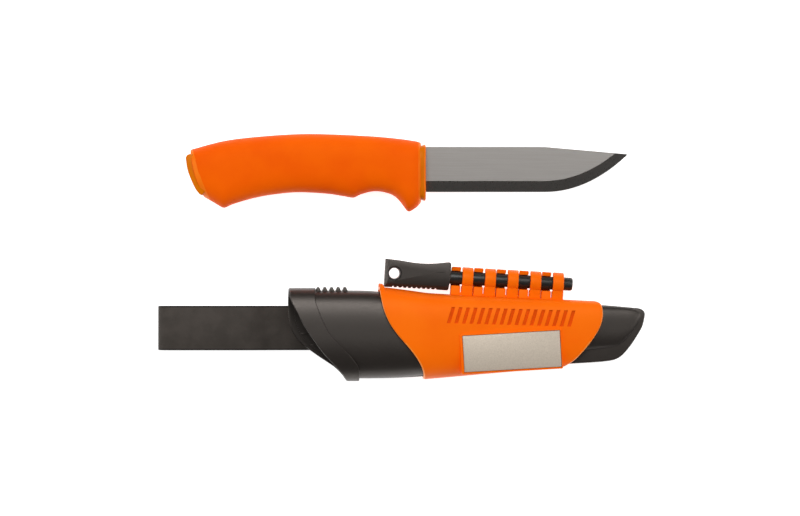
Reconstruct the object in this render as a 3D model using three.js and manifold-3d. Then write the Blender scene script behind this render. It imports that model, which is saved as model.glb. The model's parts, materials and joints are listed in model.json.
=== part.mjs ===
// A sheath knife laid out beside its sheath. The sheath carries a fire starter and a sharpening plate,
// and a belt loop hangs from a collar round its mouth. Millimetres, +Z up, resting on the plane z = 0:
// X runs from the belt loop to the sheath's tip, Y from the knife's edge to its spine.
import * as THREE from "three";
import { mergeVertices } from "three/addons/utils/BufferGeometryUtils.js";
import Module from "manifold-3d";

const wasm = await Module();
wasm.setup();

// ---- Driving dimensions ----
const gap = 0.3; // air between a piece and the neighbour that it is fitted to
const blade = {
  thick: 3.2, apex: 0.06, bevel: 5.8, edge: 34.7, spine: 58.6,
  belly: 76, tip: 120.3, edgeRise: 19.9, curl: 2.08, spineFall: 3.9,
};
const handle = { halfThick: 10.56, butt: -112, front: 10.6, rimFront: 13.2, skinPower: 2.5 };
const core = { half: 6.6, lipHalf: 7.8, rimHalf: 8.2, rimLow: 30, rimHigh: 59.8 };
const tang = { end: -68, top: 54, bottom: 41, corner: 6 };
const sheath = { mouth: -62, neckEnd: -20, tip: 130, halfThick: 12.9, wall: 1.7, seat: 14.2, power: 4.5 };
const split = -6; // the mouth and the collar follow one line in front of this depth and another behind it
const far = 20; // beyond the skins on both faces, for cutting right through
const rib = { places: [-43.9, -40.4, -36.8, -33.3, -29.8], foot: 1.7, top: 0.4, low: -5.5, high: 6.5 };
const seatedShift = -85; // from where the knife lies to its place in the sheath, along Y
const collarWall = 1.5;
const strap = {
  layer: 1.7, loopHeight: 9.2, foldX: -129.3, hingeX: -63.6, endX: -28, low: -49.3, high: -25.7,
};
const sleeve = { wall: 1.8, power: 4.2 };
const ear = { low: 4.8, high: 9, corner: [-12.2, -13.5], inner: [-9.2, -15.9], root: -18 };
const rod = { radius: 3.5, chamfer: 0.7, tipU: 64.8, buriedU: -18, slope: 3.34, x: 26.3, y: -10.5 };
const finger = { pitch: 12.03, inner: 3.75, outer: 5.8, count: 5, over: 0.35 };
const foot = { low: -12.7, high: -3.7, half: 3.6 };
const starter = { half: 4.25, holeU: -29.9, holeY: 0.4, holeRadius: 3.2 };
const tooth = { from: -31, to: -7, pitch: 2.6, radius: 0.9, y: -7.3 };
const plate = { long: 51.7, wide: 19.1, thick: 1.0, x: 58.1, y: -49.5, z: 11.95, turn: 3.2, lean: 3.6 };
const tape = { inset: 0.5, under: 0.1, thick: 0.5 };
const rivet = { x: -42, ys: [-31.5, -43.5], radius: 1.6, head: 3.6, clear: 0.1 };

const finish = {
  steel: { color: 0x9c9893, roughness: 0.35, metalness: 1 },
  orangeCore: { color: 0xe06a08, roughness: 0.4, metalness: 0 },
  orangeRubber: { color: 0xf25c05, roughness: 0.65, metalness: 0 },
  orangePlastic: { color: 0xff6a10, roughness: 0.45, metalness: 0 },
  blackPlastic: { color: 0x3a3835, roughness: 0.5, metalness: 0 },
  strapLeather: { color: 0x35322f, roughness: 0.6, metalness: 0 },
  diamondPlate: { color: 0xc4b9aa, roughness: 0.8, metalness: 0.4 },
  tape: { color: 0xd8d4cc, roughness: 0.9, metalness: 0 },
  ferroRod: { color: 0x2f2e2e, roughness: 0.5, metalness: 0.5 },
  rivetSteel: { color: 0x8d8b88, roughness: 0.35, metalness: 1 },
};

// ---- Helpers ----
// A smooth height over x through [x, value] knots, level past both ends.
function profile(...knots) {
  const slope = (i) => {
    const a = knots[Math.max(i - 1, 0)];
    const b = knots[Math.min(i + 1, knots.length - 1)];
    return (b[1] - a[1]) / (b[0] - a[0]);
  };
  return (x) => {
    if (x <= knots[0][0]) return knots[0][1];
    const i = knots.findIndex((k) => k[0] >= x) - 1;
    if (i < 0) return knots.at(-1)[1];
    const span = knots[i + 1][0] - knots[i][0];
    const t = (x - knots[i][0]) / span;
    const rise = slope(i) * span * t * (1 - t) ** 2 - slope(i + 1) * span * t * t * (1 - t);
    return rise + knots[i][1] + (knots[i + 1][1] - knots[i][1]) * t * t * (3 - 2 * t);
  };
}

// A skin over closed rings of equally many points, with a fan over each end.
function loft(rings) {
  const n = rings[0].length;
  const points = rings.flat();
  const faces = [];
  rings.slice(1).forEach((_, r) => {
    for (let i = 0; i < n; i++) {
      const [a, b] = [r * n + i, r * n + ((i + 1) % n)];
      faces.push(a, b, a + n, b, b + n, a + n);
    }
  });
  [rings[0], rings.at(-1)].forEach((ring, last) => {
    const middle = ring.reduce((sum, p) => sum.clone().add(p)).multiplyScalar(1 / n);
    const first = last ? (rings.length - 1) * n : 0;
    for (let i = 0; i < n; i++) {
      const [a, b] = [first + i, first + ((i + 1) % n)];
      faces.push(...(last ? [a, b] : [b, a]), points.length);
    }
    points.push(middle);
  });
  return new THREE.BufferGeometry().setFromPoints(points).setIndex(faces);
}

function solid(geometry) {
  const bare = geometry.clone();
  bare.deleteAttribute("normal");
  bare.deleteAttribute("uv");
  const merged = mergeVertices(bare, 1e-4);
  const mesh = { numProp: 3, vertProperties: merged.attributes.position.array };
  return new wasm.Manifold(new wasm.Mesh({ ...mesh, triVerts: new Uint32Array(merged.index.array) }));
}

function geometryOf(body) {
  const mesh = body.getMesh();
  const geometry = new THREE.BufferGeometry();
  geometry.setAttribute("position", new THREE.BufferAttribute(mesh.vertProperties, 3));
  geometry.setIndex(new THREE.BufferAttribute(mesh.triVerts, 1));
  return geometry;
}

const union = (...bodies) => bodies.reduce((a, b) => a.add(b));

// An outline in X and Y, made solid from z = low to z = high.
function prism(shape, low, high, curveSegments = 2) {
  const options = { depth: high - low, bevelEnabled: false, curveSegments };
  return solid(new THREE.ExtrudeGeometry(shape, options).translate(0, 0, low));
}

function outline(...stretches) {
  const shape = new THREE.Shape();
  stretches.forEach((points, i) => {
    const path = points.map(([x, y]) => new THREE.Vector2(x, y));
    const [start, ...rest] = path;
    if (i === 0) shape.moveTo(start.x, start.y);
    else shape.lineTo(start.x, start.y);
    if (rest.length > 1) shape.splineThru(rest);
    else if (rest.length) shape.lineTo(rest[0].x, rest[0].y);
  });
  return shape;
}

// A rounded box section at x: a superellipse between two heights, as deep as front and back say.
function ring(x, bottom, top, front, back, power, count) {
  const middle = (bottom + top) / 2;
  const bend = (v) => Math.sign(v) * Math.abs(v) ** (2 / power);
  return Array.from({ length: count }, (_, i) => {
    const angle = (2 * Math.PI * i) / count;
    const [c, s] = [bend(Math.cos(angle)), bend(Math.sin(angle))];
    return new THREE.Vector3(x, middle + ((top - bottom) / 2) * c, s * (s > 0 ? front : back));
  });
}

function stations(from, to, step) {
  const count = Math.max(1, Math.round((to - from) / step));
  return Array.from({ length: count + 1 }, (_, i) => from + ((to - from) * i) / count);
}

function cylinder(radius, from, to, sides = 24) {
  const geometry = new THREE.CylinderGeometry(radius, radius, to - from, sides);
  return solid(geometry.rotateX(Math.PI / 2).translate(0, 0, (from + to) / 2));
}

function part(name, body, look) {
  const mesh = new THREE.Mesh(geometryOf(body), new THREE.MeshStandardMaterial(finish[look]));
  mesh.name = name;
  return mesh;
}

// ---- Knife, about the blade's middle plane ----
const handleTop = profile(
  [-112, 57], [-94, 61.7], [-76, 64], [-50, 65.5], [-18, 64.4], [0, 62.8], [10.6, 61.2],
);
const handleBottom = profile(
  [-112, 37], [-103.7, 32], [-93.8, 26.3], [-85, 29], [-68, 33.7], [-50, 34.7], [-30, 32.6],
  [-25, 31.9], [-20, 34.2], [-12, 35.3], [-5, 33.6], [0, 29.6], [4, 24.6], [7.6, 26.4], [10.6, 28.9],
);
const handleDepth = profile(
  [-112, 9], [-95, 10.2], [-70, 10.5], [-40, 10.5], [-14, 9], [4, 10.3], [10.6, 9.6],
);

// The hard core: a spar through the grip, the lip round the butt, and the rim round the blade's root.
function handleCore(extra) {
  const run = stations(-105, handle.front + 0.5, 10);
  const top = profile([-105, 52], [-90, 57.5], [-50, 61.5], [0, 59], [11, 57.3]);
  const bottom = profile([-105, 42], [-90, 36.5], [-50, 38.4], [0, 37], [11, 34]);
  const depth = core.half + extra;
  const spar = loft(run.map((x) => ring(x, bottom(x) - extra, top(x) + extra, depth, depth, 3, 20)));
  const lip = outline(
    [[-101 + extra, 53.5 + extra], [-112.4, 53.8 + extra]],
    [[-113.8, 52.4], [-113, 46.4], [-111, 40.9], [-108.6, 35.8], [-106.8, 33.2]],
    [[-104.6 + extra, 33.2], [-103.2 + extra, 36 - extra]],
    [[-96 + extra, 40]],
  );
  const rimDepth = core.rimHalf + extra;
  const rim = loft([handle.front + 0.1 - extra, handle.rimFront].map((x) =>
    ring(x, core.rimLow - extra, core.rimHigh + extra, rimDepth, rimDepth, 4, 28)));
  return union(solid(spar), prism(lip, -core.lipHalf - extra, core.lipHalf + extra), solid(rim));
}

function gripBody() {
  const skin = loft(stations(handle.butt, handle.front, 3.5).map((x) =>
    ring(x, handleBottom(x), handleTop(x), handleDepth(x), handleDepth(x), handle.skinPower, 22)));
  const side = outline(
    [[30, 80], [-111.6, 80]],
    [[-111.6, 53.8], [-109.9, 46.4], [-107.8, 41], [-105.4, 35.8], [-103.7, 32]],
    [[-103.7, 10], [30, 10]],
  );
  return solid(skin).intersect(prism(side, -far, far)).subtract(handleCore(gap));
}

// The edge curves up past the belly, and the spine drops in a straight clip.
const pastBelly = (x) => Math.max(0, (x - blade.belly) / (blade.tip - blade.belly));
const edgeAt = (x) => blade.edge + blade.edgeRise * pastBelly(x) ** blade.curl;
const spineAt = (x) => blade.spine - blade.spineFall * pastBelly(x);

function bladeBody() {
  const run = [handle.front + 0.6, 45, ...stations(blade.belly, blade.tip - 0.8, 3.6)];
  const { apex } = blade;
  const halfAt = (d) => Math.min(blade.thick / 2, apex + ((blade.thick / 2 - apex) * d) / blade.bevel);
  const rings = run.map((x) => {
    const [edge, spine] = [edgeAt(x), spineAt(x)];
    const line = Math.min(edge + blade.bevel, spine - 0.05);
    const [top, mid] = [halfAt(spine - edge), halfAt(line - edge)];
    return [[spine, -top], [spine, top], [line, mid], [edge, apex], [edge, -apex], [line, -mid]]
      .map(([y, z]) => new THREE.Vector3(x, y, z));
  });
  const tangShape = outline(
    [[handle.front + 1, tang.top], [tang.end + tang.corner, tang.top]],
    [[tang.end, tang.top - 4], [tang.end, tang.bottom + 4]],
    [[tang.end + tang.corner, tang.bottom], [handle.front + 1, tang.bottom]],
  );
  return union(solid(loft(rings)), prism(tangShape, -blade.thick / 2, blade.thick / 2));
}

// Room for the tang through the core, and for the blade's root in the rim.
function tangSlot() {
  const width = blade.thick + 2 * gap;
  const room = new THREE.BoxGeometry(4, blade.spine - blade.edge + 2 * gap, width);
  room.translate(handle.front + 2.3, (blade.spine + blade.edge) / 2, 0);
  const long = handle.rimFront - tang.end;
  const slot = new THREE.BoxGeometry(long, tang.top - tang.bottom + 2 * gap, width);
  slot.translate(tang.end - gap + long / 2, (tang.top + tang.bottom) / 2, 0);
  return union(solid(room), solid(slot));
}

function knife() {
  const group = new THREE.Group();
  group.add(
    part("blade", bladeBody(), "steel"),
    part("handle_core", handleCore(0).subtract(tangSlot()), "orangeCore"),
    part("grip", gripBody(), "orangeRubber"),
  );
  group.position.z = handle.halfThick;
  return group;
}

// ---- Sheath, about the middle plane of the seated blade, with its tip dipped to the ground ----
const sheathTop = profile(
  [-62, -17.5], [-20, -17.5], [-8, -18.4], [16, -21.2], [60, -22.8], [104, -24.6], [130, -27],
);
const sheathBottom = profile(
  [-62, -63.9], [-12, -63.9], [13, -62.8], [42, -60.2], [86, -56.4], [105, -54.9], [130, -53],
);
const flangeRise = profile([-18, 0], [-8, 1.2], [42, 1.6], [86, 3.2], [106, 3.2], [130, 4]);
const frontDepth = profile([-62, 12.9], [8, 12.9], [22, 12], [50, 9.2], [85, 7], [130, 5]);
const backDepth = profile([-62, 12.9], [8, 12.9], [22, 12.4], [50, 10.6], [105, 9], [130, 7.6]);
const sleeveTop = profile([-12, -15.4], [-4, -16.3], [5, -17.5], [16, -18.9], [60, -21.1], [108, -23.3]);
const sleeveBottom = profile([-12, -65.7], [13, -64.4], [42, -61.9], [86, -58.3], [108, -56.9]);

// The thin flange along the sheath's lower edge and round its tip.
function flange(extra) {
  const half = profile([-19, 0.4], [-4, 2.2], [130, 2.2]);
  const rings = stations(-19, sheath.tip, 12).map((x) => {
    const depth = half(x) + extra;
    return ring(x, sheathBottom(x) - extra, sheathTop(x) - 3, depth, depth, 8, 16);
  });
  return solid(loft(rings));
}

// The rounded bulge round the knife, grown outwards by extra.
function shell(extra, from = sheath.mouth, to = sheath.tip) {
  const rings = stations(from, to, 11).map((x) => {
    const low = sheathBottom(x) + flangeRise(x) - extra;
    return ring(x, low, sheathTop(x) + extra, frontDepth(x) + extra, backDepth(x) + extra, sheath.power, 28);
  });
  return solid(loft(rings));
}

function handlePocket() {
  const depth = sheath.halfThick - sheath.wall;
  const rings = stations(sheath.mouth - 2, sheath.seat, 12).map((x) =>
    ring(x, sheathBottom(x) + 2.2, sheathTop(x) - sheath.wall, depth, depth, 5, 32));
  return solid(loft(rings));
}

function bladePocket() {
  const clear = 1.3;
  const low = seatedShift - clear;
  const high = seatedShift + clear;
  const under = stations(blade.belly, blade.tip, 8).map((x) => [x + clear, edgeAt(x) + low]);
  const shape = outline(
    [[sheath.seat - 1, blade.edge + low], under[0]],
    under.slice(1),
    [[blade.tip + 2, spineAt(blade.tip) + high], [blade.belly, blade.spine + high]],
    [[sheath.seat - 1, blade.spine + high]],
  );
  return prism(shape, -4.2, 3.2, 1);
}

function thumbRibs() {
  return rib.places.map((x) => {
    const shape = outline(
      [[x - rib.foot, -18.6], [x - rib.top, -15.7]],
      [[x + rib.top, -15.7], [x + rib.foot, -18.6]],
    );
    return prism(shape, rib.low, rib.high);
  });
}

// The mouth's edge on the front, the mouth's edge on the back, and the collar's other edge on the front.
const mouthLine = [
  [-59.1, -14], [-58.9, -21.5], [-55.1, -29.4], [-51.9, -35.8], [-47.7, -42.1], [-41.9, -50.1],
  [-36, -56.4], [-30.7, -62.3], [-27.8, -67],
];
const backLine = [
  [-59.4, -14], [-59.2, -30.5], [-58.2, -35.8], [-56.6, -40], [-54, -43.7], [-50.8, -46.9],
  [-42.9, -52.7], [-35, -58], [-30.7, -62.3], [-27.8, -67],
];
const bandEnd = [
  [-45.3, -14], [-45.9, -22.5], [-44, -27.8], [-41.9, -33.1], [-38.7, -39.5], [-33.4, -45.6],
  [-28.8, -50.1], [-25.2, -54.5], [-22.8, -58.6], [-22.2, -67],
];
const shiftX = (points, dx) => points.map(([x, y]) => [x + dx, y]);

// Everything to the right of a line that runs down from the sheath's top edge.
const rightOf = (line) => outline([[160, -10], [line[0][0], -10]], line, [[160, -67]]);

function sheathBody() {
  const tipSide = outline(
    [[-80, -5], [119, -5]],
    [[119, -20], [125.6, -26.6]],
    [[127.6, -27.3], [129.3, -29.4], [129.4, -32], [127.7, -36.3], [124.6, -42.1],
      [121.4, -46.4], [118.2, -50.1], [115.4, -52.6], [111.8, -53.9], [105.5, -54.9]],
    [[105.5, -80], [-80, -80]],
  );
  const bulgeSide = outline(
    [[-80, -5], [119, -5]],
    [[119, -20], [124.5, -27]],
    [[126, -28.5], [126.8, -31], [125.3, -36], [122.2, -41.2],
      [117.2, -47.2], [112.5, -50.7], [106, -52]],
    [[106, -80], [-80, -80]],
  );
  const bulge = shell(0).intersect(prism(bulgeSide, -far, far));
  const rim = flange(0).intersect(prism(tipSide, -far, far));
  const whole = union(bulge, rim, ...thumbRibs()).subtract(union(handlePocket(), bladePocket()));
  const front = whole.intersect(prism(rightOf(shiftX(mouthLine, 1.2)), split, far));
  const back = whole.intersect(prism(rightOf(shiftX(backLine, 3.4)), -far, split));
  return union(front, back);
}

// The collar is a band round the mouth. Behind, it widens into the plate that carries the belt loop.
function collarBody() {
  const tube = shell(gap + collarWall, sheath.mouth - 2, sheath.neckEnd)
    .subtract(shell(gap, sheath.mouth - 4, sheath.neckEnd + 2));
  const band = outline(
    [bandEnd[0], mouthLine[0]],
    mouthLine.slice(1),
    [bandEnd.at(-1), bandEnd.at(-2)],
    bandEnd.slice(0, -2).reverse(),
  );
  const backPlate = outline(
    [[-22, -21], [-45.3, -21]],
    [[-45.3, -14], backLine[0]],
    backLine.slice(1),
    [[-22, -67]],
  );
  const front = tube.intersect(prism(band, split, far));
  const back = tube.intersect(prism(backPlate, -far, split));
  const holes = rivet.ys.map((y) => union(
    cylinder(rivet.radius + rivet.clear, -far, -10),
    cylinder(rivet.head + rivet.clear, -(sheath.halfThick + gap) - 0.9, -10),
  ).translate([rivet.x, y, 0]));
  return union(front, back).subtract(union(...holes));
}

// A finger that wraps the rod, opening to the back where side is 1 and to the front where it is -1.
function fingerBody(u, width, side) {
  const hook = new THREE.Shape();
  const [start, end] = [-Math.PI / 2, Math.PI / 2 + finger.over];
  hook.absarc(0, 0, finger.outer, start, end);
  hook.absarc(0, 0, finger.inner, end, start, true);
  const options = { depth: width, bevelEnabled: false, curveSegments: 5 };
  const geometry = new THREE.ExtrudeGeometry(hook, options);
  const body = solid(geometry.rotateY(-Math.PI / 2).translate(width, 0, 0));
  return (side > 0 ? body : body.mirror([0, 0, 1])).translate([u, 0, 0]);
}

function rodFrame(body) {
  return body.rotate([0, 0, -rod.slope]).translate([rod.x, rod.y, 0]);
}

// A block that joins fingers to the sleeve's top edge.
function footBody(from, to) {
  const block = new THREE.BoxGeometry(to - from, foot.high - foot.low, 2 * foot.half);
  return solid(block.translate((from + to) / 2, (foot.high + foot.low) / 2, 0));
}

const rodWay = () => cylinder(finger.inner, -2, rod.tipU + 5).rotate([0, 90, 0]);

function rodHolder() {
  const pieces = [footBody(0.3, 5.2), fingerBody(0.3, 4.9, -1)];
  for (let k = 0; k < finger.count; k++) {
    const u = finger.pitch * k;
    const last = k === finger.count - 1;
    pieces.push(fingerBody(u + 6, 5.8, 1), footBody(u + 6, last ? u + 11.8 : u + 17.2));
    if (!last) pieces.push(fingerBody(u + 12.2, 5, -1));
  }
  return rodFrame(union(...pieces));
}

function plateFrame(body) {
  return body.rotate([0, plate.lean, plate.turn]).translate([plate.x, plate.y, plate.z]);
}

// The sleeve's back corner rises in two ears, with room for the fire starter's handle between them.
function sleeveEars() {
  const { corner, inner, root } = ear;
  const shape = outline([corner, [corner[0], root]], [[inner[0], root]], [inner]);
  return union(prism(shape, ear.low, ear.high), prism(shape, -ear.high, -ear.low));
}

const slab = (long, wide, low, high) =>
  solid(new THREE.BoxGeometry(long, wide, high - low).translate(0, 0, (low + high) / 2));

function sleeveBody() {
  const cover = gap + sleeve.wall;
  const skin = loft(stations(-12, 108, 12).map((x) =>
    ring(x, sleeveBottom(x), sleeveTop(x), frontDepth(x) + cover, backDepth(x) + cover, sleeve.power, 32)));
  const side = outline(
    [[103.6, -10], [-12.3, -10]],
    [[-12.3, -13.5], [-10.1, -26.2], [-6.9, -34.2], [-3.8, -39], [-0.8, -42.7],
      [5.5, -50.1], [9.1, -55.4], [11.2, -60.2], [12, -66]],
    [[86, -66], [86, -57.9]],
    [[92.2, -52.7], [98.9, -45.6], [104.4, -39], [107.2, -32.1], [107.1, -27], [105.4, -24], [103.6, -22.6]],
  );
  const pad = plateFrame(slab(plate.long + 4.6, plate.wide + 2.6, -12, 0.25));
  const recess = plateFrame(slab(plate.long + 0.5, plate.wide + 0.5, -plate.thick - 0.7, 3));
  const inside = union(shell(gap, -20, 112), flange(gap));
  const outside = union(solid(skin).intersect(prism(side, -far, far)), pad, rodHolder(), sleeveEars());
  return outside.subtract(union(inside, recess, rodFrame(rodWay())));
}

function starterHandle() {
  const shape = outline(
    [[-35, -7], [-35, 7.9]],
    [[-28, 7.3], [-18, 6.6], [-10, 6.7], [-1.6, 7.9]],
    [[0, 7], [0, -6.2]],
    [[-1.2, -7.1]],
  );
  const body = prism(shape, -starter.half, starter.half, 3);
  const cuts = [
    cylinder(rod.radius + 0.1, rod.buriedU - gap, 2).rotate([0, 90, 0]),
    cylinder(starter.holeRadius, -6, 6, 20).translate([starter.holeU, starter.holeY, 0]),
  ];
  for (let x = tooth.from; x < tooth.to; x += tooth.pitch) {
    cuts.push(cylinder(tooth.radius, -6, 6, 8).translate([x, tooth.y, 0]));
  }
  return body.subtract(union(...cuts));
}

function starterRod() {
  const side = [
    [0, rod.buriedU],
    [rod.radius, rod.buriedU],
    [rod.radius, rod.tipU - rod.chamfer],
    [rod.radius - rod.chamfer, rod.tipU],
    [0, rod.tipU],
  ];
  const lathe = new THREE.LatheGeometry(side.map(([r, u]) => new THREE.Vector2(r, u)), 24);
  return solid(lathe.rotateZ(-Math.PI / 2));
}

// The rest line under the sheath: from the strap's end below the collar to the sleeve's back edge.
const neckRoom = -(sheath.halfThick + gap);
const collarBack = neckRoom - collarWall;
const restLeft = { x: strap.endX, z: collarBack - 0.1 - 2 * strap.layer };
const restRightX = 105.5;
const restRight = { x: restRightX, z: -(backDepth(restRightX) + gap + sleeve.wall) };
const dip = Math.atan((restRight.z - restLeft.z) / (restRight.x - restLeft.x));
const lift = restRight.x * Math.sin(dip) - restRight.z * Math.cos(dip);
const levelOf = (x, z) => lift - x * Math.sin(dip) + z * Math.cos(dip);

// The strap is folded into a loop with its two ends stacked under the collar. It lies flat on the ground,
// and splits at the line where it bends: the stacked end stays on the collar and the loop swings.
function strapEnd() {
  const [left, right] = [strap.hingeX + gap / 2, strap.endX];
  const side = outline(
    [[left, 0], [right, 0]],
    [[right, levelOf(right, collarBack) - 0.1], [left, levelOf(left, collarBack) - 0.1]],
  );
  const body = prism(side, strap.low, strap.high).rotate([90, 0, 0]).mirror([0, 1, 0]);
  return body.subtract(rivetHoles());
}

function dipped(body) {
  return body.rotate([0, THREE.MathUtils.radToDeg(dip), 0]).translate([0, 0, lift]);
}

function rivetHoles() {
  return union(...rivet.ys.map((y) => dipped(union(
    cylinder(rivet.radius + rivet.clear, -30, -10),
    cylinder(rivet.head + gap, -30, restLeft.z + 1.6),
  ).translate([rivet.x, y, 0]))));
}

function strapLoop() {
  const neck = strap.hingeX - gap / 2;
  const high = strap.loopHeight;
  const bend = high / 2;
  const neckTop = levelOf(neck, collarBack) - 0.6;
  const shape = new THREE.Shape();
  shape.moveTo(neck, 0);
  shape.lineTo(neck, neckTop);
  shape.bezierCurveTo(neck - 8, neckTop + 0.3, neck - 9, high, neck - 18, high);
  shape.lineTo(strap.foldX + bend, high);
  shape.absarc(strap.foldX + bend, bend, bend, Math.PI / 2, 1.5 * Math.PI);
  shape.lineTo(neck, 0);
  const hole = new THREE.Path();
  const inner = bend - strap.layer;
  hole.moveTo(neck - 5, strap.layer + 0.4);
  hole.bezierCurveTo(neck - 9, neckTop, neck - 12, high - strap.layer, neck - 18, high - strap.layer);
  hole.lineTo(strap.foldX + bend, high - strap.layer);
  hole.absarc(strap.foldX + bend, bend, inner, Math.PI / 2, 1.5 * Math.PI);
  hole.lineTo(neck - 8, strap.layer);
  shape.holes.push(hole);
  return prism(shape, strap.low, strap.high, 8).rotate([90, 0, 0]).mirror([0, 1, 0]);
}

// A tubular rivet: the post's wide head sits in the strap, and its cap sits flush in the collar plate.
function rivetPost() {
  const shank = cylinder(rivet.radius, restLeft.z + 0.4, collarBack + 0.3);
  return union(shank, cylinder(rivet.head, restLeft.z + 0.35, restLeft.z + 1.3));
}

function rivetCap() {
  return cylinder(rivet.head, neckRoom - 0.8, neckRoom - 0.1)
    .subtract(cylinder(rivet.radius + rivet.clear, -far, neckRoom - 0.5));
}

function tapeBody() {
  const top = -plate.thick - tape.under;
  return slab(plate.long - 2 * tape.inset, plate.wide - 2 * tape.inset, top - tape.thick, top);
}

function sheathSet() {
  const group = new THREE.Group();
  group.add(
    part("sheath_body", sheathBody(), "blackPlastic"),
    part("mouth_collar", collarBody(), "blackPlastic"),
    part("carrier_sleeve", sleeveBody(), "orangePlastic"),
    part("plate_tape", plateFrame(tapeBody()), "tape"),
    part("sharpener_plate", plateFrame(slab(plate.long, plate.wide, -plate.thick, 0)), "diamondPlate"),
    part("fire_rod", rodFrame(starterRod()), "ferroRod"),
    part("rod_handle", rodFrame(starterHandle()), "blackPlastic"),
  );
  rivet.ys.forEach((y, i) => {
    group.add(
      part(`rivet_post_${i + 1}`, rivetPost().translate([rivet.x, y, 0]), "rivetSteel"),
      part(`rivet_cap_${i + 1}`, rivetCap().translate([rivet.x, y, 0]), "rivetSteel"),
    );
  });
  group.rotation.y = dip;
  group.position.z = lift;
  return group;
}

const set = new THREE.Group();
set.add(knife(), sheathSet());
set.add(part("strap_end", strapEnd(), "strapLeather"), part("strap_loop", strapLoop(), "strapLeather"));

export default set;
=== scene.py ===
# A sheath knife laid out beside its sheath. The sheath has a collar with a belt loop, and an orange
# sleeve that holds a fire steel and a sharpening plate. Shapes are worked out in millimetres.
import json
import math
import bmesh
import bpy
from mathutils import Matrix, Vector


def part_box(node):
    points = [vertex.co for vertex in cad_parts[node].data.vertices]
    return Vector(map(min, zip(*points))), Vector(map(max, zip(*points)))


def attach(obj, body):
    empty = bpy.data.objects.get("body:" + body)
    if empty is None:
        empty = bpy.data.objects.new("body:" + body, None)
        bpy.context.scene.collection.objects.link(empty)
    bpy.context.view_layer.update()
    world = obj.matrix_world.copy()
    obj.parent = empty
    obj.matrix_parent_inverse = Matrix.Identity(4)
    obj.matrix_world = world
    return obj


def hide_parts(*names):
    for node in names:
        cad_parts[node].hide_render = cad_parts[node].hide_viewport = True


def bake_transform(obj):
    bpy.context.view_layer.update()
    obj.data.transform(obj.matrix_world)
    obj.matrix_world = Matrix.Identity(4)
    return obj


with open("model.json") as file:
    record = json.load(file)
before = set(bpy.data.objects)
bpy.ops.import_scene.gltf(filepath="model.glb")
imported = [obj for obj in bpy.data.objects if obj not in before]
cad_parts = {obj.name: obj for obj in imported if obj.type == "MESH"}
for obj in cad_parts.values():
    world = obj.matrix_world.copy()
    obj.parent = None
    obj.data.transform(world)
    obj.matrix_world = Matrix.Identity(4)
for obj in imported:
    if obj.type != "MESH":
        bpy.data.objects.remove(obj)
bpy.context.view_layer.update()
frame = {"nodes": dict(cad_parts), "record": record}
joints = {joint["name"]: joint for joint in frame["record"]["behaviour"]["joints"]}
mounts = {mount["name"]: mount for mount in frame["record"]["mounts"]}
mm = 0.001


# ---------- shared tools ----------

def smoothLine(*knots):
    # a smooth height over x through (x, value) knots, level past both ends
    def slope(i):
        a, b = knots[max(i - 1, 0)], knots[min(i + 1, len(knots) - 1)]
        return (b[1] - a[1]) / (b[0] - a[0])

    def at(x):
        if x <= knots[0][0]:
            return knots[0][1]
        for i in range(len(knots) - 1):
            (x0, y0), (x1, y1) = knots[i], knots[i + 1]
            if x <= x1:
                span = x1 - x0
                t = (x - x0) / span
                rise = slope(i) * span * t * (1 - t) ** 2 - slope(i + 1) * span * t * t * (1 - t)
                return rise + y0 + (y1 - y0) * t * t * (3 - 2 * t)
        return knots[-1][1]
    return at


def steps(start, end, count):
    return [start + (end - start) * i / count for i in range(count + 1)]


def squarish(turn, power, under=None):
    # a point round a square with round corners, from the middle of +Y; under is the power of the
    # corner between -Y and +Z
    side, along = divmod(turn * 4 + 0.5, 1)
    s = along * 2 - 1
    s = (s + math.sin(s * math.pi / 2)) / 2  # closer together towards the corners
    a, b = [(1, s), (-s, 1), (-1, -s), (s, -1)][int(side) % 4]
    power = under if under and a < 0 < b else power
    reach = (abs(a) ** power + abs(b) ** power) ** (-1 / power)
    return a * reach, b * reach


def roundedBox(turn, width, height, radius):
    angle = 2 * math.pi * (turn + 0.001)
    c, s = math.cos(angle), math.sin(angle)
    return (math.copysign(width / 2 - radius, c) + radius * c,
            math.copysign(height / 2 - radius, s) + radius * s)


def loft(stations, place, count, closed=False):
    # carries a ring through its stations; closed joins the last ring to the first
    bm = bmesh.new()
    turn = bm.verts.layers.float.new("turn")
    ring = bmesh.ops.create_circle(bm, segments=count, radius=1)["verts"]
    for i, vert in enumerate(ring):
        vert[turn] = i / count
    firstEdges = edges = bm.edges[:]
    for number, station in enumerate(stations):
        if number:
            made = bmesh.ops.extrude_edge_only(bm, edges=edges)["geom"]
            ring = [part for part in made if isinstance(part, bmesh.types.BMVert)]
            fresh = set(ring)
            edges = [part for part in made if isinstance(part, bmesh.types.BMEdge)
                     and part.verts[0] in fresh and part.verts[1] in fresh]
        for vert in ring:
            vert.co = place(station, vert[turn])
    if closed:
        bmesh.ops.remove_doubles(bm, verts=bm.verts, dist=1e-4)
    else:
        bmesh.ops.edgeloop_fill(bm, edges=firstEdges)
        bmesh.ops.edgeloop_fill(bm, edges=edges)
    bmesh.ops.recalc_face_normals(bm, faces=bm.faces)
    return bm


def slab(outline, low, high):
    # a flat outline made solid between two heights
    bm = bmesh.new()
    face = bm.faces.new([bm.verts.new((x, y, low)) for x, y in outline])
    made = bmesh.ops.extrude_face_region(bm, geom=[face])["geom"]
    top = [part for part in made if isinstance(part, bmesh.types.BMVert)]
    bmesh.ops.translate(bm, verts=top, vec=(0, 0, high - low))
    bmesh.ops.recalc_face_normals(bm, faces=bm.faces)
    return bm


def block(low, high):
    bm = bmesh.new()
    bmesh.ops.create_cube(bm, size=1)
    size = Vector(high) - Vector(low)
    bmesh.ops.scale(bm, vec=size, verts=bm.verts)
    bmesh.ops.translate(bm, vec=Vector(low) + size / 2, verts=bm.verts)
    return bm


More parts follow.
